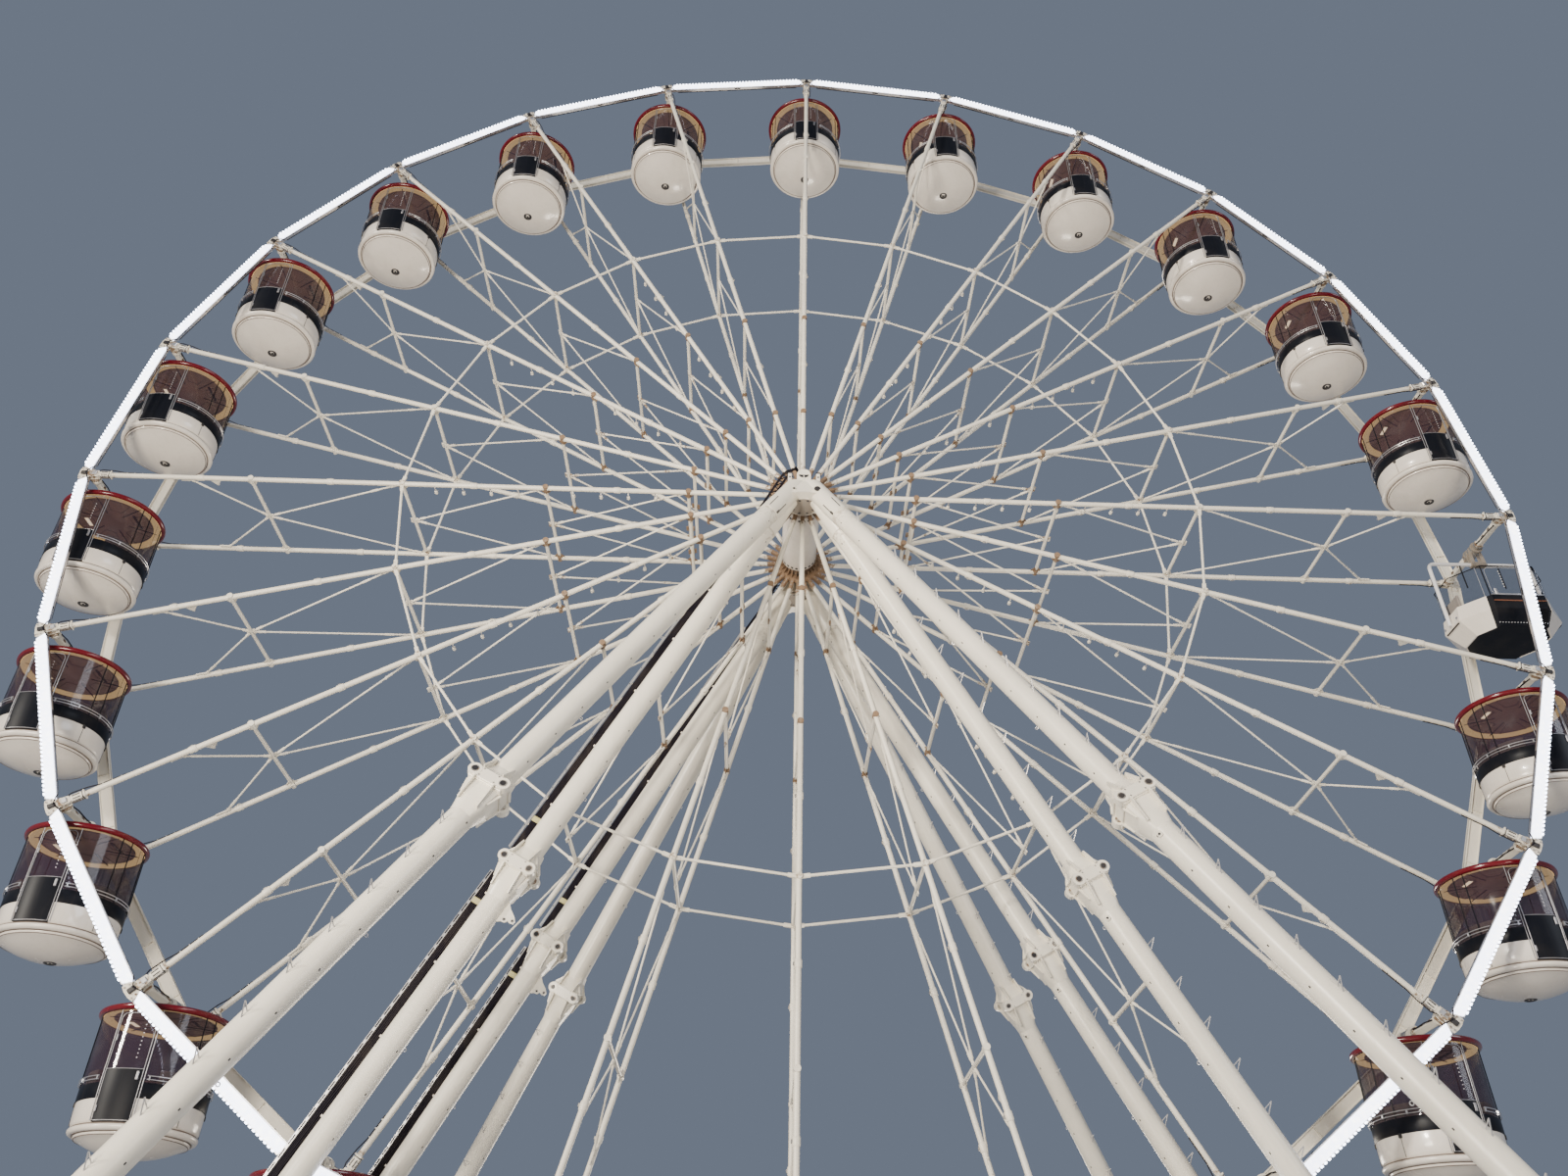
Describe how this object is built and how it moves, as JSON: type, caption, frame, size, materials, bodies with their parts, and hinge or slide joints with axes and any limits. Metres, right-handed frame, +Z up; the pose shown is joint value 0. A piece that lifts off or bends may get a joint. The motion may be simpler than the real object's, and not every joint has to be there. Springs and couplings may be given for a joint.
{
  "type": "ferris wheel",
  "caption": "Transportable ferris wheel: an open spoked double rim turns on a fixed axle between splayed tube legs, and round hanging cabins stay level.",
  "frame": {"origin": "on the ground under the middle of the axle", "axes": "+Z up; Y along the wheel's axle, with the public side at -Y; X across the wheel"},
  "size_m": [31.8642, 17.58, 33.1296],
  "materials": {
    "cream_paint": "off-white gloss paint, rust at the joints",
    "light_bar": "lit white diffuser strips on painted beams",
    "grey_steel": "grey-brown worn paint",
    "shell_white": "off-white gloss moulded shell",
    "wide_body": "black gloss panels"
  },
  "bodies": {
    "tower": {"main_axle": "grey_steel", "head_front": "cream_paint", "tie_front": "cream_paint", "leg_outer_front_left": "cream_paint", "leg_inner_front_left": "cream_paint", "leg_outer_front_right": "cream_paint", "leg_inner_front_right": "cream_paint", "head_rear": "cream_paint", "tie_rear": "cream_paint", "leg_outer_rear_left": "cream_paint", "leg_inner_rear_left": "cream_paint", "leg_outer_rear_right": "cream_paint", "leg_inner_rear_right": "cream_paint", "sill_left": "cream_paint", "sill_right": "cream_paint", "cable_tray_front_upper": "grey_steel", "cable_tray_front_lower": "grey_steel", "cable_tray_rear_upper": "grey_steel", "cable_tray_rear_lower": "grey_steel"},
    "wheel": {"spokes_1": "cream_paint", "spokes_2": "cream_paint", "spokes_3": "cream_paint", "spokes_4": "cream_paint", "spokes_5": "cream_paint", "spokes_6": "cream_paint", "front_rim": "light_bar", "rear_rim": "cream_paint", "hub_drum": "cream_paint"},
    "cabin_01": {"cabin_01": "shell_white"},
    "cabin_02": {"cabin_02": "shell_white"},
    "cabin_03": {"cabin_03": "shell_white"},
    "cabin_04": {"cabin_04": "shell_white"},
    "cabin_05": {"cabin_05": "shell_white"},
    "cabin_06": {"cabin_06": "shell_white"},
    "cabin_07": {"cabin_07": "wide_body"},
    "cabin_08": {"cabin_08": "shell_white"},
    "cabin_09": {"cabin_09": "shell_white"},
    "cabin_10": {"cabin_10": "shell_white"},
    "cabin_11": {"cabin_11": "shell_white"},
    "cabin_12": {"cabin_12": "shell_white"},
    "cabin_13": {"cabin_13": "shell_white"},
    "cabin_14": {"cabin_14": "shell_white"},
    "cabin_15": {"cabin_15": "shell_white"},
    "cabin_16": {"cabin_16": "shell_white"},
    "cabin_17": {"cabin_17": "shell_white"},
    "cabin_18": {"cabin_18": "shell_white"},
    "cabin_19": {"cabin_19": "shell_white"},
    "cabin_20": {"cabin_20": "shell_white"},
    "cabin_21": {"cabin_21": "shell_white"},
    "cabin_22": {"cabin_22": "shell_white"},
    "cabin_23": {"cabin_23": "shell_white"},
    "cabin_24": {"cabin_24": "shell_white"}
  },
  "joints": [
    {"name": "wheel_spin", "type": "hinge", "parent": "tower", "child": "wheel", "pos_m": [0, 0, 18], "axis": [0, 1, 0], "continuous": true},
    {"name": "cabin_01_swing", "type": "hinge", "parent": "wheel", "child": "cabin_01", "pos_m": [0.1088, 0, 32.8396], "axis": [0, 1, 0], "continuous": true},
    {"name": "cabin_02_swing", "type": "hinge", "parent": "wheel", "child": "cabin_02", "pos_m": [3.9458, 0, 32.3058], "axis": [0, 1, 0], "continuous": true},
    {"name": "cabin_03_swing", "type": "hinge", "parent": "wheel", "child": "cabin_03", "pos_m": [7.514, 0, 30.7971], "axis": [0, 1, 0], "continuous": true},
    {"name": "cabin_04_swing", "type": "hinge", "parent": "wheel", "child": "cabin_04", "pos_m": [10.5701, 0, 28.4163], "axis": [0, 1, 0], "continuous": true},
    {"name": "cabin_05_swing", "type": "hinge", "parent": "wheel", "child": "cabin_05", "pos_m": [12.9059, 0, 25.3256], "axis": [0, 1, 0], "continuous": true},
    {"name": "cabin_06_swing", "type": "hinge", "parent": "wheel", "child": "cabin_06", "pos_m": [14.3621, 0, 21.7357], "axis": [0, 1, 0], "continuous": true},
    {"name": "cabin_07_swing", "type": "hinge", "parent": "wheel", "child": "cabin_07", "pos_m": [14.8396, 0, 17.8912], "axis": [0, 1, 0], "continuous": true},
    {"name": "cabin_08_swing", "type": "hinge", "parent": "wheel", "child": "cabin_08", "pos_m": [14.3058, 0, 14.0542], "axis": [0, 1, 0], "continuous": true},
    {"name": "cabin_09_swing", "type": "hinge", "parent": "wheel", "child": "cabin_09", "pos_m": [12.7971, 0, 10.486], "axis": [0, 1, 0], "continuous": true},
    {"name": "cabin_10_swing", "type": "hinge", "parent": "wheel", "child": "cabin_10", "pos_m": [10.4163, 0, 7.4299], "axis": [0, 1, 0], "continuous": true},
    {"name": "cabin_11_swing", "type": "hinge", "parent": "wheel", "child": "cabin_11", "pos_m": [7.3256, 0, 5.0941], "axis": [0, 1, 0], "continuous": true},
    {"name": "cabin_12_swing", "type": "hinge", "parent": "wheel", "child": "cabin_12", "pos_m": [3.7357, 0, 3.6379], "axis": [0, 1, 0], "continuous": true},
    {"name": "cabin_13_swing", "type": "hinge", "parent": "wheel", "child": "cabin_13", "pos_m": [-0.1088, 0, 3.1604], "axis": [0, 1, 0], "continuous": true},
    {"name": "cabin_14_swing", "type": "hinge", "parent": "wheel", "child": "cabin_14", "pos_m": [-3.9458, 0, 3.6942], "axis": [0, 1, 0], "continuous": true},
    {"name": "cabin_15_swing", "type": "hinge", "parent": "wheel", "child": "cabin_15", "pos_m": [-7.514, 0, 5.2029], "axis": [0, 1, 0], "continuous": true},
    {"name": "cabin_16_swing", "type": "hinge", "parent": "wheel", "child": "cabin_16", "pos_m": [-10.5701, 0, 7.5837], "axis": [0, 1, 0], "continuous": true},
    {"name": "cabin_17_swing", "type": "hinge", "parent": "wheel", "child": "cabin_17", "pos_m": [-12.9059, 0, 10.6744], "axis": [0, 1, 0], "continuous": true},
    {"name": "cabin_18_swing", "type": "hinge", "parent": "wheel", "child": "cabin_18", "pos_m": [-14.3621, 0, 14.2643], "axis": [0, 1, 0], "continuous": true},
    {"name": "cabin_19_swing", "type": "hinge", "parent": "wheel", "child": "cabin_19", "pos_m": [-14.8396, 0, 18.1088], "axis": [0, 1, 0], "continuous": true},
    {"name": "cabin_20_swing", "type": "hinge", "parent": "wheel", "child": "cabin_20", "pos_m": [-14.3058, 0, 21.9458], "axis": [0, 1, 0], "continuous": true},
    {"name": "cabin_21_swing", "type": "hinge", "parent": "wheel", "child": "cabin_21", "pos_m": [-12.7971, 0, 25.514], "axis": [0, 1, 0], "continuous": true},
    {"name": "cabin_22_swing", "type": "hinge", "parent": "wheel", "child": "cabin_22", "pos_m": [-10.4163, 0, 28.5701], "axis": [0, 1, 0], "continuous": true},
    {"name": "cabin_23_swing", "type": "hinge", "parent": "wheel", "child": "cabin_23", "pos_m": [-7.3256, 0, 30.9059], "axis": [0, 1, 0], "continuous": true},
    {"name": "cabin_24_swing", "type": "hinge", "parent": "wheel", "child": "cabin_24", "pos_m": [-3.7357, 0, 32.3621], "axis": [0, 1, 0], "continuous": true}
  ],
  "couplings": [
    {"joint": "cabin_01_swing", "follows": "wheel_spin", "ratio": -1},
    {"joint": "cabin_02_swing", "follows": "wheel_spin", "ratio": -1},
    {"joint": "cabin_03_swing", "follows": "wheel_spin", "ratio": -1},
    {"joint": "cabin_04_swing", "follows": "wheel_spin", "ratio": -1},
    {"joint": "cabin_05_swing", "follows": "wheel_spin", "ratio": -1},
    {"joint": "cabin_06_swing", "follows": "wheel_spin", "ratio": -1},
    {"joint": "cabin_07_swing", "follows": "wheel_spin", "ratio": -1},
    {"joint": "cabin_08_swing", "follows": "wheel_spin", "ratio": -1},
    {"joint": "cabin_09_swing", "follows": "wheel_spin", "ratio": -1},
    {"joint": "cabin_10_swing", "follows": "wheel_spin", "ratio": -1},
    {"joint": "cabin_11_swing", "follows": "wheel_spin", "ratio": -1},
    {"joint": "cabin_12_swing", "follows": "wheel_spin", "ratio": -1},
    {"joint": "cabin_13_swing", "follows": "wheel_spin", "ratio": -1},
    {"joint": "cabin_14_swing", "follows": "wheel_spin", "ratio": -1},
    {"joint": "cabin_15_swing", "follows": "wheel_spin", "ratio": -1},
    {"joint": "cabin_16_swing", "follows": "wheel_spin", "ratio": -1},
    {"joint": "cabin_17_swing", "follows": "wheel_spin", "ratio": -1},
    {"joint": "cabin_18_swing", "follows": "wheel_spin", "ratio": -1},
    {"joint": "cabin_19_swing", "follows": "wheel_spin", "ratio": -1},
    {"joint": "cabin_20_swing", "follows": "wheel_spin", "ratio": -1},
    {"joint": "cabin_21_swing", "follows": "wheel_spin", "ratio": -1},
    {"joint": "cabin_22_swing", "follows": "wheel_spin", "ratio": -1},
    {"joint": "cabin_23_swing", "follows": "wheel_spin", "ratio": -1},
    {"joint": "cabin_24_swing", "follows": "wheel_spin", "ratio": -1}
  ]
}
